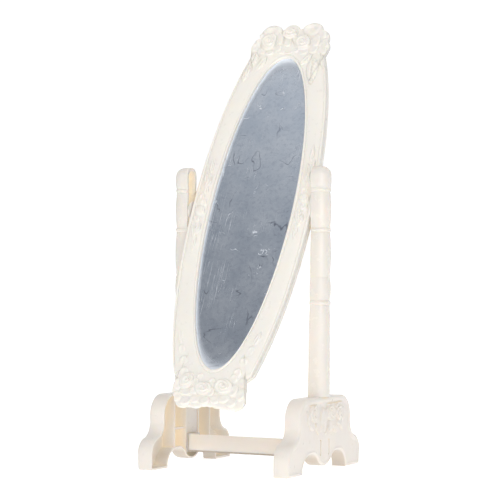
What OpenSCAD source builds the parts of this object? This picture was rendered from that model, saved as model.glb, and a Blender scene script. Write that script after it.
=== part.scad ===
/* [Feet] */
// Width of the stand over the outer faces of its feet
stand_w = 100; // [100:1:112]
// Thickness of a foot, from its outer face to its open inner side
foot_t = 10.2; // [10:0.1:10.4]
// Depth of a foot on the floor, front to back
foot_d = 103.4; // [98:0.2:110]
// Height of a foot
foot_h = 44; // [42:0.2:48]
// Depth of the upper part of a foot, front to back
foot_neck_d = 74; // [70:1:80]
// Radius of the knee and of the hollow above it
knee_r = 9.5; // [8.5:0.5:10]
// Radius of the top corners of a foot
shoulder_r = 12.5; // [9:0.5:13]
// Height of the two arches under a foot
arch_h = 10.8; // [9.5:0.1:11.5]
// Gap between the floor and the lobe in the middle of a foot
lobe_gap = 3.1; // [2.5:0.1:4]
// Wall thickness of the moulded shells
wall = 1.2; // [1:0.1:1.4]
// Width of the raised border around a foot's outer face
border_w = 3.2; // [2.5:0.1:3.5]

/* [Posts] */
// Height of the posts above the floor
post_h = 181.7; // [176:0.1:190]
// Width of a post, front to back, over its barrels
post_w = 12.6; // [12:0.2:13]
// Radius taken off at each neck of the turned profile
neck_cut = 0.7; // [0.4:0.1:0.9]
// Radius of the domed top of a post
dome_r = 5.5; // [4.5:0.1:5.8]
// Wall thickness of a post
post_wall = 2.2; // [1.8:0.1:2.4]
// How much further in the open side of a post stands at the foot
post_flare = 1.1; // [0:0.1:1.2]

/* [Crossbar] */
// Height of the underside of the crossbar above the floor
bar_z = 7.9; // [7.5:0.1:8.2]
// Height of the crossbar section
bar_h = 10.7; // [10:0.1:11]

/* [Pivot] */
// Height of the tilt axis above the floor
pivot_z = 155; // [153:0.5:157]
// Lean of the mirror from upright, with its top to the back
tilt = 27; // [0:1:40]
// Diameter of a pivot pin
pin_d = 4; // [3.6:0.1:4.2]
// Radial running clearance of a pin in its bearing
pin_clear = 0.05; // [0.03:0.01:0.08]

/* [Mirror] */
// Half width of the mirror frame
frame_a = 40.5; // [38:0.1:40.5]
// Half height of the oval that the sides of the frame follow
frame_b = 141; // [136:1:142]
// Half width of the visible mirror
glass_a = 27.5; // [26:0.5:28]
// Half height of the visible mirror
glass_b = 107.2; // [104:0.1:108]
// Height of the visible mirror's centre above the tilt axis
glass_rise = 0.8; // [0:0.1:1]
// Thickness of the mirror sheet
sheet_t = 1; // [0.8:0.1:1.2]
// Height of the rose carving above the frame band
rose_h = 2.2; // [1:0.1:2.5]

/* [Hidden] */
$fn = 48;
ivory = "#f3ead8";
ivory_shade = "#e9dfca";
silver = "#8f9fb2";

// Foot outline: circle centres, each arc tangent to the next
foot_in = stand_w / 2 - foot_t;
knee_y = foot_d / 2 - knee_r;
hollow_y = foot_neck_d / 2 + knee_r;
knee_rise = sqrt(pow(2 * knee_r, 2) - pow(hollow_y - knee_y, 2));
knee_turn = atan2(knee_rise, hollow_y - knee_y);
toe_h = 9.5;
lobe_r = 13;
arch_r = 9;
arch_drop = lobe_gap + lobe_r - (arch_h - arch_r);
arch_y = sqrt(pow(lobe_r + arch_r, 2) - pow(arch_drop, 2));
arch_turn = asin(arch_drop / (lobe_r + arch_r));
leg_y = 31.8;

// Foot inside: face, ribs and the post socket
recess = 0.8;
face_t = wall + recess;
rib_t = 1.2;
socket_y = 8;
socket_in = foot_in + 0.6;
outer_rib_y = 23;
shelf_z = 22;
post_gap = 0.1;
slot_y = 6;
slot_z = 9.2;
slot_h = 9.6;
slot_w = 1.6;
relief_h = 1.2;
leaf_h = 0.8;
sink = 0.1;
mark_r = 0.7;
mark_depth = 0.3;

// Post section: an open flat side and a half-round outer side
post_r = post_w / 2;
post_in = foot_in + 1.7;
post_axis = post_in + 4;
ring_half = 1.25;
rings_z = [100, 143.3, 167.4];
waist_z = 115.5;
flare_top = 137;
plug_y = socket_y - rib_t / 2 - 1.4;
plug_x = stand_w / 2 - face_t - post_in - post_gap;
boss_r = 3.6;
bore_depth = 8;

// Crossbar: the tongue and the snap tabs at its ends, and the lowered middle of its rear wall
tongue_gap = 0.2;
tongue_step = 0.8;
tongue_rise = 1.9;
tab_gap = 0.3;
tab_rise = 2.1;
tab_h = 8;
rear_drop = 2.6;

// Mirror layers along the local y axis, front to back
bead_y = -3;
band_y = -2.9;
groove_y = -2.2;
sheet_y = -1.3;
split_y = 0.2;
back_y = 3.3;
rabbet = 2;
side_step = 0.15;
lobe_back_y = -0.6;
end_a = 60;
end_b = 121;
cover_inset = 0.3;
press = 0.8;
lug_r = 6;
lug_web = 5;
lug_in = frame_a + 0.1;
lug_out = post_in - 0.3;
columns = 144;

// Scalloped edge of the two rose clusters: centre x, centre z and radius of each lobe
lobes = [
    [-20, 117, 6.5], [-14, 125.5, 8], [-0.5, 127.5, 5.8], [7, 124.5, 5.5], [14, 126.5, 7.5],
    [20, 121, 7], [23, 114.5, 5.5],
    [-18.5, -120, 5.5], [-15, -125.4, 5.8], [-10.6, -124.6, 6], [-6.2, -125.2, 6], [-1.6, -124, 6],
    [3.2, -124, 6], [7.8, -124.6, 6.2], [12.4, -125.4, 6.2], [16, -125.8, 6], [19.6, -126.4, 5.8],
    [18.5, -119.5, 5.8]
];
// Rose heads and leaves as domes: centre x, centre z, radius and height as a share of rose_h
domes = [
    [-15, 121, 6.5, 1], [0.5, 125.5, 6, 1], [10.5, 119, 6.5, 1], [17, 127, 5, 0.7], [21, 116, 5, 0.6],
    [-14, -119, 6.5, 1], [-3, -120, 6.5, 1], [12, -118.5, 6.5, 1], [19, -126, 4.5, 0.6],
    [-22, 111, 4, 0.6], [-24.5, 103, 3.5, 0.5], [-26, 95, 3, 0.4], [23, 106, 3.5, 0.5], [25, 98, 3, 0.4],
    [-21, -112, 4, 0.6], [-24.5, -104, 3.5, 0.5], [-26.5, -96, 3, 0.4],
    [20, -111, 4, 0.6], [23.5, -104, 3.5, 0.5], [26, -96, 3, 0.4],
    for (side = [-1, 1]) each [
        [side * 34, 0, 3.8, 0.6], [side * 34, 8, 3, 0.4], [side * 34, -8, 3, 0.4],
        [side * 33.6, 17, 2.4, 0.3], [side * 33.6, -17, 2.4, 0.3]
    ]
];
// Roses and leaves on the outer face of a foot: y, z and radius
foot_roses = [[-13.5, 35, 5.2], [5.5, 35, 5.8], [20.5, 36, 4.8]];
foot_leaves = [[-13, 26.5, 2.8], [-4, 32, 2.8], [6, 26, 2.8], [19, 27.5, 2.6]];
// Round ejector marks on the outer face of a foot: y and z
foot_marks = [[-43, 6], [42, 13]];

function arc(c, r, a0, a1, n) = [
    for (i = [0 : n]) let (a = a0 + (a1 - a0) * i / n) c + r * [cos(a), sin(a)]
];

// One half of the foot outline in y and z, moved inwards by inset
function foot_half(inset) = concat(
    arc([0, lobe_gap + lobe_r], lobe_r - inset, -90, -arch_turn, 8),
    arc([arch_y, arch_h - arch_r], arch_r + inset, 180 - arch_turn, 90, 8),
    arc([leg_y - arch_h, 0], arch_h + inset, 90, asin(inset / (arch_h + inset)), 12),
    [[foot_d / 2 - inset, inset]],
    arc([knee_y, toe_h], knee_r - inset, 0, knee_turn, 10),
    arc([hollow_y, toe_h + knee_rise], knee_r + inset, 180 + knee_turn, 180, 10),
    arc([foot_neck_d / 2 - shoulder_r, foot_h - shoulder_r], shoulder_r - inset, 0, 90, 12)
);

function mirrored(points) = [
    for (i = [len(points) - 1 : -1 : 0]) if (abs(points[i][0]) > 0.001) [-points[i][0], points[i][1]]
];

function foot_outline(inset) = concat(foot_half(inset), mirrored(foot_half(inset)));

// Post profile from the foot upwards, as radius and height, moved inwards by inset
function bead(z) = [
    for (a = [0 : 45 : 180]) [post_r - 0.6 + 0.6 * sin(a), z - ring_half * cos(a)]
];
function barrel(z0, z1, n) = [
    for (i = [0 : n]) [post_r - neck_cut * (1 - sin(180 * i / n)), z0 + (z1 - z0) * i / n]
];
function turned() = concat(
    [[post_r - 0.15, foot_h], [post_r - 0.3, rings_z[0] - 8], [post_r - neck_cut, rings_z[0] - 2.2]],
    bead(rings_z[0]),
    barrel(rings_z[0] + ring_half + 0.1, waist_z, 8),
    barrel(waist_z + 0.2, rings_z[1] - ring_half - 0.1, 12),
    bead(rings_z[1]),
    barrel(rings_z[1] + ring_half + 0.1, rings_z[2] - ring_half - 0.1, 12),
    bead(rings_z[2]),
    [[post_r - 0.4, rings_z[2] + ring_half + 0.1], [post_r, rings_z[2] + 3.6]]
);
function post_profile(inset) = concat(
    [for (p = turned()) [p[0] - inset, p[1]]],
    arc([post_r - dome_r, post_h - dome_r], dome_r - inset, 0, 90, 12)
);

// Points on ovals at a turn t from the top: the visible mirror with a margin, and the frame's sides
function glass_edge(t, margin) = [(glass_a + margin) * sin(t), glass_rise + (glass_b + margin) * cos(t)];
function side_edge(t) = [frame_a * sin(t), frame_b * cos(t)];
function ring(points_at) = [for (c = [0 : columns - 1]) points_at(360 * c / columns)];

// How far along the ray p + d the frame reaches: to its oval, to its rounded ends or to a lobe
function lobe_reach(p, d, lobe) =
    let (o = p - [lobe[0], lobe[1]], b = o * d, gap = b * b - (d * d) * (o * o - lobe[2] * lobe[2]))
    gap > 0 ? (-b + sqrt(gap)) / (d * d) : 0;
function plain_reach(p, d) =
    min(1, lobe_reach([p[0] / end_a, p[1] / end_b], [d[0] / end_a, d[1] / end_b], [0, 0, 1]));
function ray(t) = let (p = glass_edge(t, 0)) [p, side_edge(t) - p];
function at_reach(r, k, inset) = r[0] + r[1] * (k - inset / norm(r[1]));
function plain_edge(t, inset) = let (r = ray(t)) at_reach(r, plain_reach(r[0], r[1]), inset);
function lobed_edge(t) =
    let (r = ray(t))
    at_reach(r, max([plain_reach(r[0], r[1]), for (lobe = lobes) lobe_reach(r[0], r[1], lobe)]), 0);

// Height of the carving at a point of the frame
function dome(p, d) =
    d[3] * rose_h * max(0, 1 - (pow(p[0] - d[0], 2) + pow(p[1] - d[1], 2)) / pow(d[2], 2));
function carving(p) = max([for (d = domes) dome(p, d)]);

// Front surface across the band: share of the width, and level between the two beads
front_steps = [
    [0.02, bead_y + 0.4], [0.06, bead_y], [0.13, bead_y], [0.17, groove_y], [0.25, band_y + 0.3],
    [0.38, band_y], [0.5, band_y], [0.62, band_y], [0.75, band_y + 0.3], [0.83, groove_y],
    [0.87, bead_y], [0.94, bead_y], [0.985, bead_y + 0.5], [1, bead_y + 1.2]
];
function front_point(p, q, step) =
    let (at = p + (q - p) * step[0])
    [at[0], step[1] - (step[0] > 0.1 && step[0] < 1 ? carving(at) : 0), at[1]];

// Closed section of the frame at one turn: carved front, side wall, open channel and sheet rabbet
function flat_point(at, y) = [at[0], y, at[1]];
function frame_section(t) =
    let (inner = glass_edge(t, 0), outer = lobed_edge(t), side = plain_edge(t, side_step),
         skirt = plain_edge(t, side_step + wall), web = glass_edge(t, rabbet + wall),
         shelf = glass_edge(t, rabbet))
    concat(
        [for (step = front_steps) front_point(inner, outer, step)],
        [flat_point(outer, lobe_back_y), flat_point(side, lobe_back_y), flat_point(side, split_y),
         flat_point(skirt, split_y), flat_point(skirt, groove_y + wall),
         flat_point(web, groove_y + wall), flat_point(web, split_y), flat_point(shelf, split_y),
         flat_point(shelf, sheet_y), flat_point(inner, sheet_y)]
    );

module along_x(x0, len) {
    translate([x0, 0, 0]) rotate([90, 0, 90]) linear_extrude(len) children();
}

module along_y(y0, len) {
    translate([0, y0 + len, 0]) rotate([90, 0, 0]) linear_extrude(len) children();
}

// A rose carved in low relief on a face that looks along +X
module low_rose(r, h) {
    rotate([0, 90, 0]) {
        for (a = [0 : 72 : 359]) rotate(a) translate([r * 0.56, 0, 0]) cylinder(r = r * 0.44, h = h * 0.7);
        cylinder(r = r * 0.5, h = h);
    }
}

module foot_shell() {
    difference() {
        along_x(foot_in, foot_t) polygon(foot_outline(0));
        along_x(foot_in - 1, foot_t - face_t + 1) polygon(foot_outline(wall));
        along_x(stand_w / 2 - recess, recess + 1) polygon(foot_outline(border_w));
    }
}

// Upright ribs, the shelf under the post and the inner wall of the post socket
module foot_ribs() {
    intersection() {
        along_x(foot_in, foot_t - face_t / 2 - recess) polygon(foot_outline(wall / 2));
        union() {
            for (y = [-outer_rib_y, -socket_y, socket_y, outer_rib_y])
                translate([foot_in, y - rib_t / 2, 0]) cube([foot_t, rib_t, foot_h]);
            translate([socket_in, -outer_rib_y, shelf_z]) cube([foot_t, outer_rib_y + socket_y, rib_t]);
            translate([socket_in, -socket_y, bar_z + bar_h + post_gap]) cube([1, 2 * socket_y, foot_h]);
        }
    }
}

module foot_relief() {
    for (rose = foot_roses)
        translate([stand_w / 2 - recess - sink, rose[0], rose[1]]) low_rose(rose[2], relief_h);
    for (leaf = foot_leaves)
        translate([stand_w / 2 - recess - sink, leaf[0], leaf[1]]) rotate([0, 90, 0])
            cylinder(r = leaf[2], h = leaf_h);
}

// Right foot: a shell open on its inner side, with a socket for the post
module foot() {
    difference() {
        union() {
            foot_shell();
            foot_ribs();
            foot_relief();
        }
        translate([post_in - post_gap, -plug_y - post_gap, shelf_z + rib_t])
            cube([stand_w / 2 - face_t - post_in + post_gap, 2 * (plug_y + post_gap), foot_h]);
        for (side = [-1, 1])
            translate([stand_w / 2 - face_t - 1, side * slot_y - slot_w / 2, slot_z])
                cube([foot_t, slot_w, slot_h]);
        for (mark = foot_marks)
            translate([stand_w / 2 - recess - mark_depth, mark[0], mark[1]]) rotate([0, 90, 0])
                cylinder(r = mark_r, h = foot_t);
    }
}

// Post as a closed solid: a half-round outer side and straight sides to the open plane at x0,
// which flares inwards below flare_top
module post_solid(inset, x0) {
    profile = post_profile(inset);
    translate([post_axis, 0, 0]) rotate(-90) rotate_extrude(angle = 180)
        polygon(concat(profile, [[0, post_h - inset], [0, foot_h]]));
    intersection() {
        along_x(x0 - post_flare, post_axis - x0 + post_flare)
            polygon(concat(profile, mirrored(profile)));
        along_y(-post_w, 2 * post_w) polygon([
            [x0 - post_flare, foot_h], [x0, flare_top], [x0, post_h],
            [post_axis, post_h], [post_axis, foot_h]
        ]);
    }
}

module post_plug() {
    difference() {
        translate([post_in, -plug_y, shelf_z + rib_t + post_gap])
            cube([plug_x, 2 * plug_y, foot_h - shelf_z - rib_t]);
        translate([post_in - 1, wall - plug_y, shelf_z])
            cube([plug_x - wall + 1, 2 * (plug_y - wall), foot_h]);
    }
}

// Right post: an open half shell with a bearing boss for the pivot pin and a plug for the foot
module post() {
    difference() {
        union() {
            difference() {
                post_solid(0, post_in);
                difference() {
                    post_solid(post_wall, post_in - 1);
                    translate([post_in - 2, -post_r, foot_h - 1]) cube([post_w, post_w, 1 + wall]);
                }
            }
            intersection() {
                post_solid(post_wall / 2, post_in);
                translate([post_in + post_wall, 0, pivot_z]) rotate([0, 90, 0])
                    cylinder(r = boss_r, h = post_w);
            }
            post_plug();
        }
        translate([post_in, 0, pivot_z]) rotate([0, 90, 0])
            cylinder(d = pin_d + 2 * pin_clear, h = bore_depth);
        translate([post_in - 1, wall - plug_y, foot_h - 2])
            cube([plug_x - wall + 1, 2 * (plug_y - wall), 2 + 2 * wall]);
    }
}

module left_foot() { color(ivory) mirror([1, 0, 0]) foot(); }
module right_foot() { color(ivory) foot(); }
module left_post() { color(ivory) mirror([1, 0, 0]) post(); }
module right_post() { color(ivory) post(); }

// Crossbar: a channel open upwards, with tongues and snap tabs that enter the feet
module crossbar() {
    half = foot_in - post_gap;
    bar_y = socket_y - rib_t / 2;
    bar_top = bar_z + bar_h;
    tongue = stand_w / 2 - face_t - tongue_gap;
    tongue_y = bar_y - tongue_step;
    tongue_z = bar_z + tongue_rise;
    tab = stand_w / 2 - recess - tab_gap;
    color(ivory) difference() {
        union() {
            translate([-half, -bar_y, bar_z]) cube([2 * half, 2 * bar_y, bar_h]);
            translate([-tongue, -tongue_y, tongue_z])
                cube([2 * tongue, 2 * tongue_y, bar_top - tongue_gap - tongue_z]);
            for (side = [-1, 1])
                translate([-tab, side * slot_y - rib_t / 2, bar_z + tab_rise])
                    cube([2 * tab, rib_t, tab_h]);
        }
        translate([wall - half, wall - bar_y, bar_z + wall])
            cube([2 * (half - wall), 2 * (bar_y - wall), bar_h]);
        for (side = [0, 1]) mirror([side, 0, 0]) translate([half, wall - tongue_y, tongue_z + wall])
            cube([tongue - wall - half, 2 * (tongue_y - wall), bar_h]);
        translate([wall - half, slot_y - rib_t, bar_top - rear_drop])
            cube([2 * (half - wall), bar_y, bar_h]);
    }
}

// Places the mirror's own frame, with z up the mirror and -y to its front, on the tilt axis
module on_pivot() {
    translate([0, 0, pivot_z]) rotate([-tilt, 0, 0]) children();
}

module mirror_frame() {
    sections = [for (c = [0 : columns - 1]) frame_section(360 * c / columns)];
    rows = len(sections[0]);
    points = [for (section = sections) each section];
    faces = [
        for (c = [0 : columns - 1], r = [0 : rows - 1])
            let (c2 = (c + 1) % columns, r2 = (r + 1) % rows,
                 a = c * rows + r, b = c2 * rows + r, d = c * rows + r2, e = c2 * rows + r2)
            each [[a, e, b], [a, d, e]]
    ];
    color(ivory) on_pivot() polyhedron(points, faces, convexity = 6);
}

module mirror_sheet() {
    color(silver) on_pivot() along_y(sheet_y, sheet_t)
        polygon(ring(function(t) glass_edge(t, rabbet - 0.3)));
}

module ring_wall(outer, inner) {
    difference() {
        polygon(outer);
        polygon(inner);
    }
}

// Back cover: a shallow tray whose inner oval wall holds the sheet, with two round pivot lugs
module back_cover() {
    outer = ring(function(t) plain_edge(t, cover_inset));
    color(ivory_shade) on_pivot() {
        along_y(back_y - wall, wall) polygon(outer);
        along_y(split_y, back_y - split_y)
            ring_wall(outer, ring(function(t) plain_edge(t, cover_inset + wall)));
        along_y(sheet_y + sheet_t, back_y - sheet_y - sheet_t)
            ring_wall(
                ring(function(t) glass_edge(t, press)),
                ring(function(t) glass_edge(t, press - wall))
            );
        for (side = [0, 1]) mirror([side, 0, 0]) {
            translate([frame_a - 2, split_y, -lug_web])
                cube([lug_out - frame_a + 2, back_y - split_y, 2 * lug_web]);
            translate([lug_in, 0, 0]) rotate([0, 90, 0]) {
                cylinder(r = lug_r, h = lug_out - lug_in);
                cylinder(d = pin_d, h = post_in + bore_depth - 1 - lug_in);
            }
        }
    }
}

left_foot();
right_foot();
left_post();
right_post();
crossbar();
mirror_frame();
mirror_sheet();
back_cover();
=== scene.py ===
import math

import bmesh
import bpy
import numpy as np
from mathutils import Matrix, Vector
from mathutils.geometry import delaunay_2d_cdt


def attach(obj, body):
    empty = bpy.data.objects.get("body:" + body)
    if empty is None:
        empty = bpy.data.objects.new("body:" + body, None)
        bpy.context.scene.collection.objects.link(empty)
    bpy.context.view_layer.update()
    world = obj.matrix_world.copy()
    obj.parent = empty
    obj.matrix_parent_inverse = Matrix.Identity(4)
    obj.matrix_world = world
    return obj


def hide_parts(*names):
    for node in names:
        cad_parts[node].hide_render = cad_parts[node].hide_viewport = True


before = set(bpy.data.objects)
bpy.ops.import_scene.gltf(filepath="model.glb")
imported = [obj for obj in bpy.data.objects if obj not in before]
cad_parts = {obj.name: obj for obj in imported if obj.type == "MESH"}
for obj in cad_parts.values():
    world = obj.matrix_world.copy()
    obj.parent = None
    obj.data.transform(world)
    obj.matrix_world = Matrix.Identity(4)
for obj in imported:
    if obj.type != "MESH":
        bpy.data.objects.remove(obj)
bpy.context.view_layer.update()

# a millimetre in metres
MM = 0.001

# ---------------------------------------------------------------- sizes, in millimetres
# feet: overall sizes, round corners, the two arches with a lobe between them, walls and border
STAND_W, FOOT_T, FOOT_D, FOOT_H, NECK_D = 100.0, 10.2, 103.4, 44.0, 74.0
KNEE_R, SHOULDER_R, TOE_H = 9.5, 12.5, 9.5
ARCH_H, ARCH_R, LOBE_R, LOBE_GAP, LEG_Y = 10.8, 9.0, 13.0, 3.1, 31.8
WALL, RECESS, ARCH_LIP, EDGE_R = 1.2, 0.8, 0.4, 1.5
FOOT_OUT = STAND_W / 2
FOOT_IN = FOOT_OUT - FOOT_T
PANEL_X = FOOT_OUT - RECESS
FACE_X = PANEL_X - WALL
# feet: ribs and shelf on the open side, and the slots for the crossbar's tabs
SOCKET_Y, OUTER_RIB_Y, SHELF_Z = 8.0, 23.0, 22.0
SLOT_Y, SLOT_Z, SLOT_TOP, SLOT_W = 6.0, 9.2, 18.8, 1.6
EJECTOR_MARKS = [(-43.0, 6.0), (42.0, 13.0), (-22.0, 19.0)]
# posts: half-shell section, turned profile and bearing boss
POST_R, POST_H, POST_IN, POST_WALL = 6.3, 181.7, 41.5, 2.2
POST_AXIS, DOME_R, NECK_CUT = POST_IN + 4.0, 5.5, 0.7
POST_FLARE, FLARE_TOP, PLUG_Y = 1.1, 137.0, 5.2
RINGS_Z, RING_HALF, WAIST_Z = (100.0, 143.3, 167.4), 1.25, 115.5
BOSS_R, BORE_R, BORE_DEPTH = 3.6, 2.05, 8.0
# crossbar
BAR_Z, BAR_H, REAR_DROP, TAB_RISE, TAB_H = 7.9, 10.7, 2.6, 2.1, 8.0
# mirror: pivot, lugs, ovals of the glass and the frame, and depths behind (+) and before (-) its own plane
PIVOT_Z, TILT = 155.0, math.radians(27)
LUG_R, LUG_ROOT, LUG_IN, LUG_OUT, LUG_WEB, PIN_R = 6.0, 38.4, 40.6, 41.2, 5.0, 2.0
GLASS_A, GLASS_B, GLASS_RISE, SHEET_LAP, REBATE = 27.5, 107.2, 0.8, 1.7, 2.0
FRAME_A, FRAME_B, END_A, END_B = 40.5, 141.0, 60.0, 121.0
SHEET_Y, SPLIT_Y, BACK_Y, LOBE_BACK = -1.3, 0.2, 3.3, -0.6
# mirror: limits of the carving over that plane, and the moulding's groove, beads and edge
CARVING_TOP, FRONT_LIMIT = 5.1, 61.95
GROOVE, BEAD, BEAD_HALF, EDGE_H = 2.45, 3.0, 1.15, 1.75
# scallops of the two rose clusters: centre and radius
LOBES = [
    (-20, 117, 6.5), (-14, 125.5, 8), (-0.5, 127.5, 5.8), (7, 124.5, 5.5), (14, 126.5, 7.5), (20, 121, 7),
    (23, 114.5, 5.5), (-18.5, -120, 5.5), (-15, -125.4, 5.8), (-10.6, -124.6, 6), (-6.2, -125.2, 6),
    (-1.6, -124, 6), (3.2, -124, 6), (7.8, -124.6, 6.2), (12.4, -125.4, 6.2), (16, -125.8, 6),
    (19.6, -126.4, 5.8), (18.5, -119.5, 5.8),
]


# ---------------------------------------------------------------- mesh helpers
WELD = 0.004


def add_mesh(name, parts, material, body, cad_node, sharp=38.0):
    """One object from parts of (points in mm, faces), riding on a body in place of a CAD node."""
    points, faces, base = [], [], 0
    for p, f in parts:
        p = np.asarray(p, float)
        points.append(p)
        faces += [tuple(int(i) + base for i in face) for face in f]
        base += len(p)
    mesh = bpy.data.meshes.new(name)
    mesh.from_pydata((np.concatenate(points) * MM).tolist(), [], faces)
    bm = bmesh.new()
    bm.from_mesh(mesh)
    bmesh.ops.remove_doubles(bm, verts=bm.verts, dist=WELD * MM)
    bmesh.ops.recalc_face_normals(bm, faces=bm.faces)
    bm.to_mesh(mesh)
    bm.free()
    mesh.shade_smooth()
    mesh.set_sharp_from_angle(angle=math.radians(sharp))
    mesh.materials.append(material)
    obj = bpy.data.objects.new(name, mesh)
    bpy.context.scene.collection.objects.link(obj)
    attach(obj, body)
    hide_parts(cad_node)


def loft(rings, close_loft=False):
    """Faces between closed rings of points, and from the last ring back to the first with close_loft."""
    r = np.asarray(rings, float)
    n, m = r.shape[:2]
    i = np.arange(n if close_loft else n - 1)[:, None]
    j = np.arange(m)[None, :]
    a, b = i * m + j, i * m + (j + 1) % m
    c, d = ((i + 1) % n) * m + (j + 1) % m, ((i + 1) % n) * m + j
    return r.reshape(-1, 3), np.stack([a, b, c, d], -1).reshape(-1, 4)


def block(lo, hi, r, segments=3):
    """A box with rounded edges of radius r."""
    bm = bmesh.new()
    lo, hi = Vector(lo), Vector(hi)
    bmesh.ops.create_cube(bm, size=1.0)
    for v in bm.verts:
        v.co = Vector(((lo[k] + hi[k]) / 2 + v.co[k] * (hi[k] - lo[k]) for k in range(3)))
    bmesh.ops.bevel(bm, geom=bm.edges[:], offset=r, segments=segments, profile=0.5, affect="EDGES")
    bm.verts.index_update()
    part = (np.array([v.co[:] for v in bm.verts]), [[v.index for v in f.verts] for f in bm.faces])
    bm.free()
    return part


def turned(a, centre, steps):
    """A round shape along x: `a` holds its sides' angles, `centre` is in y and z, a step is (x, radius)."""
    return loft([np.stack([np.full_like(a, x), centre[0] + r * np.cos(a), centre[1] + r * np.sin(a)], 1)
                 for x, r in steps])


def rod(x0, x1, centre, radius, round_end=0.4, sides=40):
    """A solid round pin along x."""
    a = np.linspace(0, 2 * math.pi, sides, endpoint=False)
    cut = round_end * 0.3
    steps = [(x0, 0.01), (x0, radius), (x1 - round_end, radius), (x1 - cut, radius - cut),
             (x1, radius - round_end), (x1, 0.01)]
    return turned(a, centre, steps)


def inside(px, pz, poly):
    """Even-odd test of points against a closed outline."""
    hit = np.zeros(px.shape, bool)
    q = np.roll(poly, -1, 0)
    for (x0, z0), (x1, z1) in zip(poly, q):
        if z0 == z1:
            continue
        cross = (z0 > pz) != (z1 > pz)
        hit ^= cross & (px < (x1 - x0) * (pz - z0) / (z1 - z0) + x0)
    return hit


def fill(outline, holes, guides, inner, spacing, keep_out):
    """Triangles that fill an outline round its holes, along guide loops and on a grid inside `inner`."""
    lo, hi = outline.min(0), outline.max(0)
    gy, gz = np.meshgrid(np.arange(lo[0], hi[0], spacing), np.arange(lo[1], hi[1], spacing))
    gy, gz = gy.ravel(), gz.ravel()
    ok = inside(gy, gz, inner)
    for y0, y1, z0, z1 in keep_out:
        ok &= ~((gy > y0) & (gy < y1) & (gz > z0) & (gz < z1))
    points, edges, base = [], [], 0
    for loop in (outline, *holes, *guides):
        n = len(loop)
        points += [tuple(p) for p in loop]
        edges += [(base + k, base + (k + 1) % n) for k in range(n)]
        base += n
    points += list(zip(gy[ok], gz[ok]))
    out = delaunay_2d_cdt([Vector(p) for p in points], edges, [], 0, 1e-5)
    flat = np.array([tuple(v) for v in out[0]])
    tris = np.array([f for f in out[2] if len(f) == 3])
    mid = flat[tris].mean(1)
    keep = inside(mid[:, 0], mid[:, 1], outline)
    for loop in holes:
        keep &= ~inside(mid[:, 0], mid[:, 1], loop)
    return flat, tris[keep]


def distance(points, loop):
    """Distance from points to a closed outline."""
    best = np.full(len(points), 1e9)
    for a, b in zip(loop, np.roll(loop, -1, 0)):
        d = b - a
        k = np.clip(((points - a) @ d) / max(d @ d, 1e-9), 0, 1)
        best = np.minimum(best, np.linalg.norm(points - a - k[:, None] * d, axis=1))
    return best


def smooth(e0, e1, x):
    """A smooth step from 0 at e0 to 1 at e1."""
    k = np.clip((x - e0) / (e1 - e0), 0, 1)
    return k * k * (3 - 2 * k)


# ---------------------------------------------------------------- carving, as heights over a plane
def local(x, y, cx, cy, turn):
    """Coordinates along and across an axis through (cx, cy), turned by `turn` degrees."""
    c, s = math.cos(math.radians(turn)), math.sin(math.radians(turn))
    dx, dy = x - cx, y - cy
    return dx * c + dy * s, -dx * s + dy * c


def petal(x, y, cx, cy, length, width, turn, low, high, cup=0.25):
    """A petal that rises from its base to a rolled tip in the direction `turn`, hollow along its middle."""
    p, q = local(x, y, cx, cy, turn)
    p, q = p / (length / 2), q / (width / 2)
    rho = np.hypot(p, q)
    rise = 0.45 + 0.55 * smooth(-0.9, 0.7, p)
    hollow = cup * np.exp(-((p - 0.2) / 0.5) ** 2 - (q / 0.5) ** 2)
    return np.where(rho < 1, low + (high - low) * (rise - hollow) * np.sqrt(np.clip(1 - rho ** 3.4, 0, 1)), 0)


def rose(x, y, cx, cy, r, low, high, turn, stretch, coils, depth=1.0):
    """A full rose: petals wound in a spiral over a dome, each with its lip outwards."""
    p, q = local(x, y, cx, cy, turn)
    rho = np.hypot(p, q / stretch) / r
    angle = np.arctan2(q / stretch, p)
    wave = rho ** 0.85 * (1 + 0.08 * np.cos(3 * angle + 1.0) * smooth(0.3, 0.9, rho))
    phase = (wave * coils - angle / (2 * math.pi)) % 1.0
    lip = phase ** 1.6 * (1 - smooth(0.74, 1.0, phase))
    dome = (high - low) * (0.12 + 0.88 * np.sqrt(np.clip(1 - 0.75 * rho ** 2.4, 0, 1)))
    crest = dome + depth * (lip - 0.42) * smooth(0.03, 0.15, rho)
    return np.where(rho < 1, low + np.maximum(crest, 0.1) * np.sqrt(np.clip(1 - rho ** 8, 0, 1)), 0)


def leaf(x, y, cx, cy, length, width, turn, low, high, veins=3.0):
    """A pointed leaf along its own axis, with a midrib groove and side veins."""
    p, q = local(x, y, cx, cy, turn)
    k = p / (length / 2)
    half = width / 2 * np.clip(1 - k ** 2, 0, 1) ** 0.75 * (1 - 0.25 * k)
    share = np.abs(q) / np.maximum(half, 1e-6)
    rib = 0.30 * np.exp(-((q / 0.45) ** 2))
    vein = 0.12 * smooth(0.2, 1.0, np.cos(2 * math.pi * (k * veins - share * 0.9)))
    top = (high - low) * (1 - 0.25 * share ** 2 - rib - vein)
    return np.where((np.abs(k) < 1) & (share < 1), low + top * np.sqrt(np.clip(1 - share ** 4, 0, 1)), 0)


# ---------------------------------------------------------------- oval frame
def glass_edge(t, margin):
    """The glass opening's oval, grown by a margin, at angles t from its top."""
    return np.stack([(GLASS_A + margin) * np.sin(t), GLASS_RISE + (GLASS_B + margin) * np.cos(t)], -1)


def circle_reach(p, d, cx, cy, r):
    """How many times d a point p moves before it leaves a circle, or 0 where it misses it."""
    ox, oy = p[:, 0] - cx, p[:, 1] - cy
    dd = (d ** 2).sum(1)
    b = ox * d[:, 0] + oy * d[:, 1]
    gap = b * b - dd * (ox * ox + oy * oy - r * r)
    return np.where(gap > 0, (-b + np.sqrt(np.maximum(gap, 0))) / dd, 0)


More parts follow.
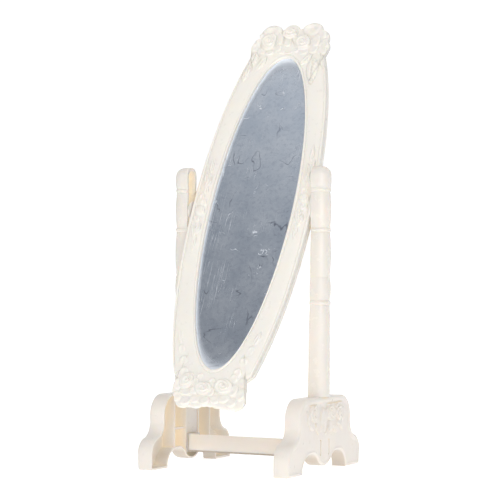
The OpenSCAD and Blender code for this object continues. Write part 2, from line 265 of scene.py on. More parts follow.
def rays(t):
    """Points on the glass opening and the ways from them to the frame's outer oval."""
    p = glass_edge(t, 0)
    return p, np.stack([FRAME_A * np.sin(t), FRAME_B * np.cos(t)], -1) - p


def plain_reach(p, d):
    """Reach to the frame's plain outline: the outer oval, cut by a flatter one at both ends."""
    s = np.array([END_A, END_B])
    return np.minimum(1, circle_reach(p / s, d / s, 0, 0, 1))


def plain_edge(t, inset):
    """The frame's outline without its scallops, moved inwards."""
    p, d = rays(t)
    return p + d * (plain_reach(p, d) - inset / np.linalg.norm(d, axis=1))[:, None]


def lobed_edge(t):
    """The frame's outline with the scallops of both clusters."""
    p, d = rays(t)
    k = np.max([plain_reach(p, d), *[circle_reach(p, d, *lobe) for lobe in LOBES]], axis=0)
    return p + d * k[:, None]


def on_pivot(x, y, s):
    """World points from the mirror's own x, depth y and height s."""
    c, w = math.cos(TILT), math.sin(TILT)
    return np.stack([x, y * c + s * w, PIVOT_Z - y * w + s * c], -1)


def band_height(d, e):
    """The moulding at d from its inner edge and e from its outer one: bead, groove, field, groove, bead."""
    m = np.minimum(d, e)
    low = np.where(m < BEAD_HALF, EDGE_H, GROOVE)
    bead = low + (BEAD - low) * np.sqrt(np.clip(1 - ((m - BEAD_HALF) / 1.17) ** 2, 0, 1))
    w = np.clip((m - 2.6) / np.maximum((d + e) / 2 - 2.6, 0.1), 0, 1)
    field = GROOVE + (2.92 - GROOVE) * np.sqrt(np.clip(1 - (1 - w) ** 3, 0, 1))
    return np.where(m < 2 * BEAD_HALF, bead, np.where(m < 2.6, GROOVE, field))


def frame_carving(x, s):
    """Both rose clusters and the two side ornaments, as a height over the mirror's own plane."""
    top = [
        petal(x, s, -13.4, 127.4, 9.4, 14.0, 92, 2.0, 4.7, 0.50),
        petal(x, s, -20.2, 122.4, 8.0, 10.0, 150, 2.0, 4.4, 0.25),
        petal(x, s, -23.0, 116.4, 6.6, 9.0, 176, 2.0, 4.1, 0.35),
        petal(x, s, -7.4, 122.4, 6.0, 10.0, 14, 2.0, 4.4, 0.25),
        petal(x, s, -18.2, 113.4, 6.0, 7.4, -130, 2.0, 4.2, 0.25),
        petal(x, s, -12.4, 112.2, 5.6, 7.0, -86, 2.0, 4.2, 0.25),
        petal(x, s, -7.4, 115.0, 5.6, 6.4, -30, 2.0, 4.0, 0.25),
        rose(x, s, -14.3, 120.2, 5.9, 2.6, 5.1, 20, 1.12, 3.0),
        petal(x, s, 14.0, 128.2, 9.0, 14.0, 88, 2.0, 4.9, 0.75),
        petal(x, s, 21.4, 124.6, 7.4, 9.0, 36, 2.0, 4.3, 0.25),
        petal(x, s, 18.2, 119.6, 7.4, 10.0, 4, 2.0, 4.6, 0.30),
        petal(x, s, 24.6, 117.6, 6.6, 7.4, 10, 1.9, 4.0, 0.30),
        petal(x, s, 24.4, 111.8, 6.6, 6.6, -40, 1.9, 3.9, 0.30),
        petal(x, s, 17.6, 113.2, 6.6, 8.0, -50, 2.0, 4.2, 0.25),
        petal(x, s, 11.2, 111.8, 5.4, 6.6, -86, 2.0, 4.0, 0.25),
        rose(x, s, 9.4, 118.8, 5.7, 2.6, 5.1, 60, 1.06, 3.1),
        petal(x, s, -1.4, 119.6, 9.0, 6.0, -70, 2.0, 4.2, 0.30),
        petal(x, s, 3.6, 121.4, 11.0, 4.2, -62, 2.0, 4.5, 0.20),
        rose(x, s, -0.8, 125.8, 4.1, 2.4, 5.0, 78, 1.4, 2.2),
        petal(x, s, -4.6, 113.2, 5.0, 5.4, 230, 2.0, 4.0, 0.30),
        petal(x, s, 1.0, 112.6, 5.0, 5.4, -90, 2.0, 4.0, 0.30),
        petal(x, s, 5.6, 113.4, 4.6, 4.6, -50, 2.0, 3.9, 0.30),
        leaf(x, s, -22.4, 106.6, 12.0, 6.6, -104, 2.0, 4.3),
        leaf(x, s, -16.4, 103.6, 12.0, 5.6, -118, 2.2, 4.1),
        leaf(x, s, -25.4, 96.6, 11.0, 5.0, -106, 2.2, 3.9),
        leaf(x, s, 20.4, 97.0, 19.5, 9.0, -84, 2.2, 4.5, 4.0),
        leaf(x, s, 14.4, 105.6, 10.0, 5.4, -132, 2.2, 4.1),
        leaf(x, s, 26.2, 103.6, 10.0, 4.6, -74, 2.2, 4.0),
    ]
    bottom = [
        petal(x, s, -20.6, -117.0, 6.4, 9.0, 186, 2.0, 4.1, 0.30),
        petal(x, s, -19.4, -124.2, 6.6, 7.4, 215, 2.0, 4.0, 0.30),
        petal(x, s, -14.4, -121.4, 6.0, 9.4, -100, 2.0, 4.4, 0.30),
        petal(x, s, -13.2, -127.0, 6.0, 7.4, -84, 2.0, 4.0, 0.30),
        petal(x, s, -9.6, -115.4, 6.0, 8.0, 30, 2.0, 4.1, 0.25),
        rose(x, s, -14.9, -114.2, 4.9, 2.5, 4.9, -30, 1.15, 2.6),
        petal(x, s, -7.4, -125.6, 6.0, 7.0, -110, 2.0, 4.0, 0.30),
        petal(x, s, -0.8, -126.2, 6.0, 7.4, -80, 2.0, 4.0, 0.30),
        petal(x, s, -8.6, -120.4, 6.0, 6.0, 210, 2.0, 4.2, 0.25),
        petal(x, s, 1.8, -121.0, 6.6, 6.6, -20, 2.0, 4.2, 0.25),
        rose(x, s, -3.4, -119.0, 4.5, 2.5, 4.9, 80, 1.3, 2.5),
        petal(x, s, 5.6, -125.6, 6.0, 7.0, -110, 2.0, 4.0, 0.30),
        petal(x, s, 11.4, -124.6, 6.6, 8.6, -84, 2.0, 4.3, 0.30),
        petal(x, s, 16.8, -127.0, 6.4, 7.4, -64, 2.0, 4.2, 0.30),
        petal(x, s, 16.4, -119.8, 7.0, 8.4, -20, 2.0, 4.4, 0.30),
        petal(x, s, 21.8, -122.0, 6.6, 8.4, -20, 2.0, 4.1, 0.30),
        rose(x, s, 9.4, -117.4, 5.0, 2.5, 4.9, 70, 1.3, 2.7),
        petal(x, s, 1.4, -114.4, 5.0, 5.4, 80, 2.1, 4.0, 0.30),
        petal(x, s, -7.0, -111.6, 5.0, 5.0, 100, 2.1, 3.9, 0.30),
        petal(x, s, 15.0, -112.0, 5.6, 6.0, 60, 2.1, 4.0, 0.30),
        petal(x, s, 21.0, -114.6, 5.6, 6.6, 20, 2.1, 4.0, 0.30),
        petal(x, s, -20.6, -110.4, 5.6, 6.0, 120, 2.1, 4.0, 0.30),
    ]
    spray = []
    for side, out in ((-1, -19.4), (1, 17.4)):
        spray += [
            petal(x, s, out - side, -108.6, 6.4, 6.0, 90 - side * 20, 2.4, 4.0, 0.35),
            petal(x, s, out + side * 1.4, -101.6, 7.0, 5.6, 90 + side * 10, 2.4, 3.9, 0.35),
            petal(x, s, out + side * 4.2, -94.6, 7.4, 5.0, 90 - side * 14, 2.4, 3.8, 0.30),
            leaf(x, s, out + side * 7.0, -86.4, 9.5, 4.0, 90 - side * 20, 2.4, 3.6),
        ]
    # side ornaments: stacked petals between two sprays of leaves
    for side, mid in ((-1, 0.0), (1, 8.0)):
        spray.append(rose(x, s, side * 34.2, mid - 1.0, 3.3, 2.7, 4.1, 30, 1.15, 2.6, 0.5))
        for k, (up, size) in enumerate(((12.6, 3.6), (8.2, 4.4), (4.2, 5.0), (-6.2, 5.0), (-10.4, 4.2))):
            lean = side * (1.0 if k % 2 else -0.9)
            turn = 90 if up > 0 else -90
            spray.append(petal(x, s, side * 34.1 + lean, mid + up, 5.6, size, turn, 2.5, 4.1, 0.5))
        for turn in (1, -1):
            reach = 1.0 if turn > 0 else 0.78
            spray += [
                leaf(x, s, side * 32.8, mid + turn * 18.6 * reach, 9.0, 3.8, 90 * turn + side * 16, 2.4, 4.1),
                leaf(x, s, side * 35.0, mid + turn * 21.0 * reach, 9.0, 3.6, 90 * turn - side * 12, 2.4, 4.0),
                leaf(x, s, side * 33.2, mid + turn * 30.0 * reach, 11.0, 3.6, 90 * turn, 2.4, 3.8),
            ]
    return np.max(top + bottom + spray, axis=0)


def oval_frame():
    """The moulding, from the glass opening over the carved front to the outline, and the hollow behind it."""
    n, rows = 1080, 128
    t = 2 * math.pi * np.arange(n) / n
    inner, outer, plain = glass_edge(t, 0), lobed_edge(t), plain_edge(t, 0)
    reach = np.linalg.norm(outer - inner, axis=1)
    width = np.linalg.norm(plain - inner, axis=1)
    at = inner[None] + (outer - inner)[None] * np.linspace(0, 1, rows)[:, None, None]
    x, s = at[..., 0], at[..., 1]
    d = np.linalg.norm(at - inner[None], axis=-1)
    rest, e = np.maximum(reach[None] - d, 0), width[None] - d
    h = np.where(e > 0, band_height(d, np.maximum(e, 0)), EDGE_H)
    # in a cluster the band thickens into a plate that rolls off only at the scalloped outline
    zone = np.maximum(smooth(102, 111, s), smooth(103, 112, -s))
    plate = 1.3 + 1.3 * np.sqrt(np.clip(1 - (1 - np.clip(rest / 1.9, 0, 1)) ** 2, 0, 1))
    plate = plate * smooth(2.2, 4.4, d)
    h = h + (np.maximum(plate, np.where(e > 2.6, h, 0)) - h) * zone
    h = np.maximum(h, EDGE_H + (frame_carving(x, s) - EDGE_H) * smooth(1.8, 3.2, d))
    roll = 1.3 + (CARVING_TOP - 1.3) * np.sqrt(np.clip(1 - (1 - np.clip(rest / 3.2, 0, 1)) ** 2, 0, 1))
    h = np.where(zone > 0, np.minimum(h, roll * zone + CARVING_TOP * (1 - zone)), h)
    h = np.minimum(h, np.minimum(CARVING_TOP, (FRONT_LIMIT + s * math.sin(TILT)) / math.cos(TILT)))
    rings = [on_pivot(inner[:, 0], np.full(n, SHEET_Y), inner[:, 1])]
    rings += [on_pivot(x[k], -h[k], s[k]) for k in range(rows)]
    side, skirt = plain_edge(t, 0.15), plain_edge(t, 0.15 + WALL)
    web, shelf = glass_edge(t, REBATE + WALL), glass_edge(t, REBATE)
    for q, y in ((outer - (outer - inner) * 0.004, -1.0), (outer - (outer - inner) * 0.015, LOBE_BACK),
                 (side, LOBE_BACK), (side, 0.1), (plain_edge(t, 0.25), SPLIT_Y), (skirt, SPLIT_Y),
                 (skirt, -1.0), (web, -1.0), (web, SPLIT_Y), (shelf, SPLIT_Y), (shelf, SHEET_Y)):
        rings.append(on_pivot(q[:, 0], np.full(n, y), q[:, 1]))
    return loft(rings, close_loft=True)


def mirror_disc():
    """The mirror sheet, a little larger than the opening in front of it."""
    n = 360
    t = 2 * math.pi * np.arange(n) / n
    rim = glass_edge(t, SHEET_LAP)
    steps = [(k, SHEET_Y) for k in np.linspace(0.001, 0.997, 40)]
    steps += [(1.0, SHEET_Y + 0.1), (1.0, SHEET_Y + 1.0), (0.001, SHEET_Y + 1.0)]
    return loft([on_pivot(rim[:, 0] * k, np.full(n, y), GLASS_RISE + (rim[:, 1] - GLASS_RISE) * k)
                 for k, y in steps])


def back_tray():
    """The tray behind the mirror: a rim with a rounded edge and a plate sunk in it."""
    n = 720
    t = 2 * math.pi * np.arange(n) / n

    def rim(inset, y):
        q = plain_edge(t, inset)
        return on_pivot(q[:, 0], np.full(n, y), q[:, 1])

    steps = [(0.3, SPLIT_Y), (0.3, BACK_Y - 0.9), (0.38, BACK_Y - 0.5), (0.62, BACK_Y - 0.2), (1.2, BACK_Y),
             (3.4, BACK_Y), (3.7, BACK_Y - 0.1), (3.9, BACK_Y - 0.45)]
    base = plain_edge(t, 3.9)
    rings = [rim(*step) for step in steps]
    rings += [on_pivot(base[:, 0] * k, np.full(n, BACK_Y - 0.5), base[:, 1] * k)
              for k in (0.97, 0.8, 0.6, 0.4, 0.2, 0.002)]
    return [loft(rings), loft([rim(0.3, SPLIT_Y), rim(1.5, SPLIT_Y), rim(1.5, BACK_Y - WALL)])]


def lug(side):
    """A round pivot lug with its pin, joined to one side of the back tray."""
    parts = [
        rod(LUG_IN, LUG_OUT, (0.0, 0.0), LUG_R, 0.25, 72),
        block((LUG_ROOT, SPLIT_Y, -LUG_WEB), (LUG_OUT - 0.05, BACK_Y, LUG_WEB), 0.3),
        rod(LUG_IN, POST_IN + BORE_DEPTH - 1, (0.0, 0.0), PIN_R),
    ]
    return [(on_pivot(side * p[:, 0], p[:, 1], p[:, 2]), f) for p, f in parts]


# ---------------------------------------------------------------- feet
def arc(c, r, a0, a1, n):
    """An arc round c, from one angle to another in degrees."""
    a = np.radians(np.linspace(a0, a1, n + 1))
    return np.stack([c[0] + r * np.cos(a), c[1] + r * np.sin(a)], 1)


def foot_outline(inset):
    """A foot's outline in y and z, moved inwards: lobe and arches below, toes, hollows and shoulders."""
    knee_y, hollow_y = FOOT_D / 2 - KNEE_R, NECK_D / 2 + KNEE_R
    rise = math.sqrt(4 * KNEE_R ** 2 - (hollow_y - knee_y) ** 2)
    turn = math.degrees(math.atan2(rise, hollow_y - knee_y))
    drop = LOBE_GAP + LOBE_R - (ARCH_H - ARCH_R)
    arch_y = math.sqrt((LOBE_R + ARCH_R) ** 2 - drop ** 2)
    arch_turn = math.degrees(math.asin(drop / (LOBE_R + ARCH_R)))
    foot_turn = math.degrees(math.asin(inset / (ARCH_H + inset)))
    toe = FOOT_D / 2 - inset
    half = np.concatenate([
        arc((0, LOBE_GAP + LOBE_R), LOBE_R - inset, -90, -arch_turn, 16),
        arc((arch_y, ARCH_H - ARCH_R), ARCH_R + inset, 180 - arch_turn, 90, 16),
        arc((LEG_Y - ARCH_H, 0), ARCH_H + inset, 90, foot_turn, 24),
        [[toe - 0.6, inset], [toe - 0.18, inset + 0.18], [toe, inset + 0.6]],
        arc((knee_y, TOE_H), KNEE_R - inset, 0, turn, 20),
        arc((hollow_y, TOE_H + rise), KNEE_R + inset, 180 + turn, 180, 20),
        arc((NECK_D / 2 - SHOULDER_R, FOOT_H - SHOULDER_R), SHOULDER_R - inset, 0, 90, 24),
    ])
    keep = np.linalg.norm(np.diff(half, axis=0), axis=1) > 1e-4
    half = half[np.r_[True, keep]]
    back = half[::-1] * [-1, 1]
    return np.concatenate([half, back[:-1] if abs(back[-1, 0]) < 1e-3 else back])


def stadium(y, z0, z1, w):
    """A slot's outline with small round corners."""
    a = np.radians(np.linspace(0, 90, 5))
    r = 0.3
    pts = []
    for sy, sz, turn in ((1, 1, 0), (-1, 1, 90), (-1, -1, 180), (1, -1, 270)):
        cy, cz = y + sy * (w / 2 - r), (z1 - r if sz > 0 else z0 + r)
        pts += [(cy + r * math.cos(k), cz + r * math.sin(k)) for k in a + math.radians(turn)]
    return np.array(pts)


def foot_carving(y, z):
    """Three roses with tall petals and leaves between them, as a height over the sunk face."""
    low = 0.0
    parts = [
        petal(y, z, -22.6, 32.6, 6.0, 9.0, 170, low, 1.2),
        petal(y, z, -16.0, 39.3, 5.0, 9.0, 96, low, 1.4, 0.5),
        petal(y, z, -13.0, 33.4, 6.0, 9.0, -10, low, 1.3),
        petal(y, z, -19.2, 28.2, 6.4, 8.0, -100, low, 1.3),
        rose(y, z, -17.6, 35.0, 4.8, low, 1.7, 20, 1.2, 2.7, 0.95),
        petal(y, z, -4.8, 31.0, 15.0, 5.0, 84, low, 1.5, 0.3),
        petal(y, z, -0.6, 30.4, 14.0, 4.4, 98, low, 1.6, 0.3),
        petal(y, z, 7.2, 39.8, 5.0, 9.0, 90, low, 1.5, 0.5),
        petal(y, z, 3.0, 34.4, 8.0, 7.0, 180, low, 1.4),
        petal(y, z, 11.6, 34.0, 8.0, 7.0, 0, low, 1.4),
        petal(y, z, 7.6, 27.2, 8.4, 7.6, -92, low, 1.4),
        rose(y, z, 7.4, 34.6, 5.0, low, 1.7, 50, 1.2, 2.7, 0.95),
        petal(y, z, 19.4, 38.0, 5.6, 8.6, 100, low, 1.4, 0.5),
        petal(y, z, 25.2, 32.8, 6.0, 9.0, 0, low, 1.3),
        petal(y, z, 20.4, 28.6, 6.4, 8.0, -86, low, 1.3),
        rose(y, z, 20.1, 33.9, 4.6, low, 1.7, 10, 1.1, 2.6, 0.95),
        leaf(y, z, 3.4, 24.4, 8.0, 3.8, 215, low, 1.2),
        leaf(y, z, 13.4, 24.2, 8.5, 3.8, -30, low, 1.2),
        leaf(y, z, 23.0, 25.6, 7.5, 3.6, -50, low, 1.1),
        leaf(y, z, -12.0, 25.6, 8.0, 3.6, -60, low, 1.2),
    ]
    return np.max(parts, axis=0)


def crossings(loop, y):
    """Lowest and highest point at which an outline crosses the line y."""
    q = np.roll(loop, -1, 0)
    hit = (loop[:, 0] > y) != (q[:, 0] > y)
    a, b = loop[hit], q[hit]
    z = a[:, 1] + (b[:, 1] - a[:, 1]) * (y - a[:, 0]) / (b[:, 0] - a[:, 0])
    return z.min(), z.max()


def border(points):
    """Height of the border over the sunk face: full round the sides and top, a low lip at the arches."""
    y, z = np.abs(points[:, 0]), points[:, 1]
    toes = smooth(43.0, 48.0, y) * smooth(1.0, 6.0, z)
    return np.maximum(RECESS * np.maximum(smooth(11.5, 16.0, z), toes), ARCH_LIP)


def at_x(x, outline):
    """Points of an outline in y and z, all at one x or each at its own."""
    return np.column_stack([np.broadcast_to(x, len(outline)), outline])


def foot(side):
    """A shell foot: walls, a sunk outer face with border, carving and slots, and ribs on the open side."""
    whole, edge = foot_outline(0.0), foot_outline(EDGE_R)
    # the walls' round rim and inner side, down to the face
    path = [(0.0, FOOT_IN + 0.3), (0.1, FOOT_IN + 0.1), (0.3, FOOT_IN), (0.9, FOOT_IN), (1.1, FOOT_IN + 0.1),
            (WALL, FOOT_IN + 0.3), (WALL, FACE_X - 0.3), (1.28, FACE_X - 0.1), (EDGE_R, FACE_X)]
    parts = [loft([at_x(x, foot_outline(i)) for i, x in path])]
    # the walls' outer side, with a round edge that drops with the border
    sunk = RECESS - border(whole)
    rings = [at_x(FOOT_IN + 0.3, whole)]
    for i, drop in ((0.0, 1.5), (0.11, 0.93), (0.44, 0.44), (0.93, 0.11), (EDGE_R, 0.0)):
        rings.append(at_x(FOOT_OUT - drop - sunk, foot_outline(i)))
    parts.append(loft(rings))
    # outer face, pierced by the slots: border, carving and ejector marks are heights on a fine mesh
    slots = [stadium(s * SLOT_Y, SLOT_Z, SLOT_TOP, SLOT_W) for s in (-1, 1)]
    clear = [(s * SLOT_Y - 1.1, s * SLOT_Y + 1.1, SLOT_Z - 0.3, SLOT_TOP + 0.3) for s in (-1, 1)]
    guides = [foot_outline(i) for i in (1.9, 2.3, 2.7, 3.1, 3.5, 3.9)]
    flat, tris = fill(edge, slots, guides, foot_outline(4.2), 0.42, clear)
    away = distance(flat, whole)
    near = np.array([np.argmin(np.hypot(*(edge - p).T)) for p in flat[:len(edge)]])
    full = border(flat)
    share = (full - ARCH_LIP) / (RECESS - ARCH_LIP)
    rise = full * (1 - smooth(EDGE_R + 0.5 * share, 2.3 + 1.7 * share, away))
    rise[:len(near)] = RECESS - sunk[near]
    high = rise + 1.1 * foot_carving(flat[:, 0], flat[:, 1])
    for mark_y, mark_z in EJECTOR_MARKS:
        rho = np.hypot(flat[:, 0] - mark_y, flat[:, 1] - mark_z)
        high = high - 0.3 * (1 - smooth(0.5, 0.9, rho)) + 0.08 * np.exp(-((rho - 1.2) / 0.35) ** 2)
    parts.append((at_x(PANEL_X + high, flat), tris))
    # the face's inner side, and the slots' walls
    flat, tris = fill(edge, slots, [], foot_outline(2.2), 2.4, clear)
    parts.append((at_x(FACE_X, flat), tris))
    parts += [loft([at_x(x, slot) for x in (PANEL_X, FACE_X)]) for slot in slots]
    # ribs, shelf and the plate that closes the post's socket
    for y in (-OUTER_RIB_Y, -SOCKET_Y, SOCKET_Y, OUTER_RIB_Y):
        lo, hi = crossings(foot_outline(0.7), y)
        parts.append(block((FOOT_IN + 0.05, y - 0.6, lo), (FACE_X + 0.3, y + 0.6, hi), 0.2, 2))
    parts += [
        block((FOOT_IN + 1.0, -OUTER_RIB_Y - 0.3, SHELF_Z),
              (FACE_X + 0.3, SOCKET_Y + 0.3, SHELF_Z + WALL), 0.2, 2),
        block((FOOT_IN + 0.6, -SOCKET_Y - 0.3, BAR_Z + BAR_H + 0.1),
              (FOOT_IN + 1.6, SOCKET_Y + 0.3, FOOT_H - 0.6), 0.2, 2),
    ]
    return [(p * [side, 1, 1], f) for p, f in parts]


# ---------------------------------------------------------------- posts
def post_radius(z):
    """Turned profile of a post: barrels between flat bands, each set off by a fine groove."""
    low, mid, high = RINGS_Z
    r = np.interp(z, [FOOT_H, low - 8, low - 2.2], [POST_R - 0.15, POST_R - 0.3, POST_R - NECK_CUT])
    barrels = [(low + RING_HALF, WAIST_Z), (WAIST_Z, mid - RING_HALF), (mid + RING_HALF, high - RING_HALF)]
    for z0, z1 in barrels:
        k = np.clip((z - z0) / (z1 - z0), 0, 1)
        r = np.where((z >= z0) & (z <= z1), POST_R - NECK_CUT * (1 - np.sin(math.pi * k) ** 0.8), r)
    k = np.clip((z - high - RING_HALF) / 3.2, 0, 1)
    r = np.where(z > high + RING_HALF, POST_R - 0.4 + 0.4 * np.sin(math.pi / 2 * k), r)
    for ring_z in RINGS_Z:
        k = np.abs(z - ring_z) / RING_HALF
        band = POST_R - NECK_CUT + (NECK_CUT - 0.1) * np.clip(1 - k ** 2.4, 0, 1) ** 0.6
        r = np.where(k < 1, band, r) - 0.06 * np.exp(-(((k - 1.08) * RING_HALF) / 0.17) ** 2)
    top = POST_H - DOME_R
    k = np.clip((z - top) / DOME_R, 0, 1)
    return np.where(z > top, POST_R - DOME_R + DOME_R * np.sqrt(np.clip(1 - k ** 2, 0, 1)), r)


def post(side):
    """A turned half shell, open inwards, with its boss and the floor that plugs into the foot."""
    zs = np.unique(np.concatenate([
        np.linspace(FOOT_H, RINGS_Z[0] - 9, 20), np.linspace(RINGS_Z[0] - 9, POST_H - DOME_R, 420),
        POST_H - DOME_R + DOME_R * np.sin(np.linspace(0, math.pi / 2, 24)) * 0.99999,
    ]))
    stations = [*zip(zs, post_radius(zs)), *((POST_H, r) for r in (0.6, 0.3, 0.04))]
    rings = []
    bend = np.linspace(-math.pi / 2, math.pi / 2, 49)
    for z, r in stations:
        face = POST_IN - POST_FLARE * max(0.0, (FLARE_TOP - z) / (FLARE_TOP - FOOT_H))
        room = POST_H - POST_WALL - z
        w = 0.02
        if room > 0:
            inner_dome = DOME_R - POST_WALL
            k = max(0.0, 1 - room / inner_dome)
            w = max(w, min(r - POST_WALL, POST_R - DOME_R + inner_dome * math.sqrt(max(0.0, 1 - k * k))))
        f = min(0.3, (r - w) * 0.3)
        g = 0.3 * f
        outside = [(POST_AXIS + r * math.cos(a), r * math.sin(a)) for a in bend]
        hollow = [(POST_AXIS + w * math.cos(a), w * math.sin(a)) for a in bend[::-1]]
        section = [
            (face + f, -r), *outside, (face + f, r), (face + g, r - g), (face, r - f),
            (face, w + f), (face + g, w + g), (face + f, w), *hollow, (face + f, -w), (face + g, -w - g),
            (face, -w - f), (face, -r + f), (face + g, -r + g),
        ]
        rings.append([(x, y, z) for x, y in section])
    parts = [loft(rings)]
    # bearing boss with its bore, and the floor of the shell where it meets the foot
    a = np.linspace(0, 2 * math.pi, 48, endpoint=False)
    face = POST_IN + POST_WALL
    steps = [(POST_AXIS + 5.2, BOSS_R), (face + 0.2, BOSS_R), (face, BOSS_R - 0.2), (face, BORE_R + 0.2),
             (face + 0.2, BORE_R), (POST_IN + BORE_DEPTH, BORE_R), (POST_IN + BORE_DEPTH, 0.02)]
    parts.append(turned(a, (0.0, PIVOT_Z), steps))
    parts.append(block((POST_IN - POST_FLARE + 0.2, -PLUG_Y, FOOT_H - 0.8),
                       (POST_AXIS + 1.0, PLUG_Y, FOOT_H + WALL), 0.2, 2))
    return [(p * [side, 1, 1], f) for p, f in parts]


def bar():
    """A channel open upwards, with a tongue and two snap tabs at each end."""
    half, y, top = FOOT_IN - 0.1, SOCKET_Y - 0.6, BAR_Z + BAR_H
    parts = [
        block((0.3 - half, -y, BAR_Z), (half - 0.3, -y + WALL, top), 0.3, 4),
        block((0.4 - half, y - WALL, BAR_Z), (half - 0.4, y, top - REAR_DROP), 0.35, 4),
        block((0.3 - half, -y, BAR_Z), (half - 0.3, y, BAR_Z + WALL), 0.3, 3),
    ]
    for s in (-1, 1):
        x0, x1 = sorted((s * (half - 1.4), s * (FACE_X - 0.2)))
        parts += [
            block((x0, -y + 0.8, BAR_Z + 1.9), (x1, -y + 2.0, top - 0.2), 0.2, 2),
            block((x0, y - 2.0, BAR_Z + 1.9), (x1, y - 0.8, top - 0.2), 0.2, 2),
            block((x0, -y + 0.8, BAR_Z + 1.9), (x1, y - 0.8, BAR_Z + 3.1), 0.2, 2),
        ]
        x0, x1 = sorted((s * (half - WALL), s * (half + 0.05)))
        parts.append(block((x0, -y, BAR_Z), (x1, y, top), 0.12, 2))
        x0, x1 = sorted((s * (FACE_X - 1.2), s * (PANEL_X - 0.3)))
        z0, z1 = BAR_Z + TAB_RISE, BAR_Z + TAB_RISE + TAB_H
        for tab_y in (-SLOT_Y, SLOT_Y):
            parts.append(block((x0, tab_y - 0.6, z0), (x1, tab_y + 0.6, z1), 0.2, 2))
    return parts


# ---------------------------------------------------------------- materials
BLACK = (0.0, 0.0, 0.0)


def new_material(name):
    """A material, its node tree and its Principled shader."""
    m = bpy.data.materials.new(name)
    m.use_nodes = True
    return m, m.node_tree, m.node_tree.nodes["Principled BSDF"]


def node(tree, kind, source=None, **values):
    """A shader node fed by `source`. A value named i_... is an input, and any other is a property."""
    n = tree.nodes.new(kind)
    for key, value in values.items():
        if key.startswith("i_"):
            n.inputs[key[2:].replace("_", " ")].default_value = value
        else:
            setattr(n, key, value)
    if source is not None:
        tree.links.new(source, n.inputs[0])
    return n


def noise(tree, where, scale, detail, rough=0.5):
    n = node(tree, "ShaderNodeTexNoise", where, i_Scale=scale, i_Detail=detail, i_Roughness=rough)
    return n.outputs["Fac"]


def absolute(tree, source):
    return node(tree, "ShaderNodeMath", source, operation="ABSOLUTE").outputs[0]


def axes(tree, source):
    return node(tree, "ShaderNodeSeparateXYZ", source).outputs


def openness(tree, reach):
    """How open the surface is within `reach` of itself: 0 deep in a hollow, 1 on a free face."""
    n = node(tree, "ShaderNodeAmbientOcclusion", samples=8, only_local=True, i_Distance=reach)
    return n.outputs["AO"]


def ramp(tree, source, stops):
    """A colour ramp. A stop is a place with a colour or a grey level."""
    r = node(tree, "ShaderNodeValToRGB", source)
    while len(r.color_ramp.elements) < len(stops):
        r.color_ramp.elements.new(0.5)
    for e, (place, colour) in zip(r.color_ramp.elements, stops):
        e.position = place
        e.color = (*colour, 1) if isinstance(colour, tuple) else (colour, colour, colour, 1)
    return r.outputs["Color"]


def mix(tree, fac, a, b, mode="MIX"):
    """A mix of two colours. Each of the three values is a number, a colour or another node's output."""
    m = node(tree, "ShaderNodeMix", data_type="RGBA", blend_type=mode)
    for sock, value in ((m.inputs["Factor"], fac), (m.inputs["A"], a), (m.inputs["B"], b)):
        if isinstance(value, bpy.types.NodeSocket):
            tree.links.new(value, sock)
        elif isinstance(value, (int, float)):
            sock.default_value = value
        else:
            sock.default_value = (*value, 1)
    return m.outputs["Result"]


def relief(tree, bsdf, *layers):
    """Bumps from layers of (height, strength, distance), each laid over the one before."""
    normal = None
    for height, strength, distance in layers:
        bump = node(tree, "ShaderNodeBump", i_Strength=strength, i_Distance=distance)
        tree.links.new(height, bump.inputs["Height"])
        if normal is not None:
            tree.links.new(normal, bump.inputs["Normal"])
        normal = bump.outputs["Normal"]
    tree.links.new(normal, bsdf.inputs["Normal"])


def scaled(tint, *by):
    """A tint times one number, or times one for each of its channels."""
    return tuple(c * k for c, k in zip(tint, by if len(by) == 3 else by * 3))


